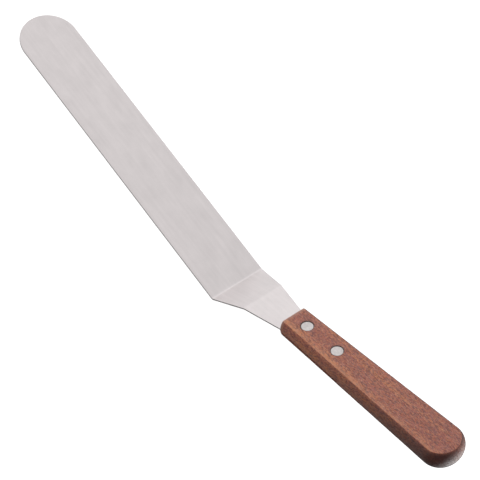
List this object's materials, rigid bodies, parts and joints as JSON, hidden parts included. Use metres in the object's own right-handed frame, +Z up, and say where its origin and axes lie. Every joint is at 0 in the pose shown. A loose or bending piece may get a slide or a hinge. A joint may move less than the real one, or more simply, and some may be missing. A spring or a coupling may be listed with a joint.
{
  "type": "offset spatula",
  "caption": "Bakery offset spatula: long round-tipped steel blade, double-bent neck rising to a riveted wooden handle.",
  "frame": {"origin": "middle of the spatula's footprint, on the plane of the blade's underside", "axes": "+X along the blade to its tip, +Z up from the underside towards the raised handle, +Y across the blade"},
  "size_m": [0.3798, 0.038, 0.0865],
  "materials": {
    "blade_steel": "satin stainless sheet, lightly brushed along the blade",
    "handle_wood": "reddish-brown hardwood with fine dark pores, thin satin lacquer",
    "rivet_steel": "bright ground rivet heads, flush with the wood"
  },
  "bodies": {
    "root": {"blade": "blade_steel", "handle": "handle_wood", "front_rivet_tube": "rivet_steel", "front_rivet_post": "rivet_steel", "rear_rivet_tube": "rivet_steel", "rear_rivet_post": "rivet_steel"}
  },
  "joints": []
}
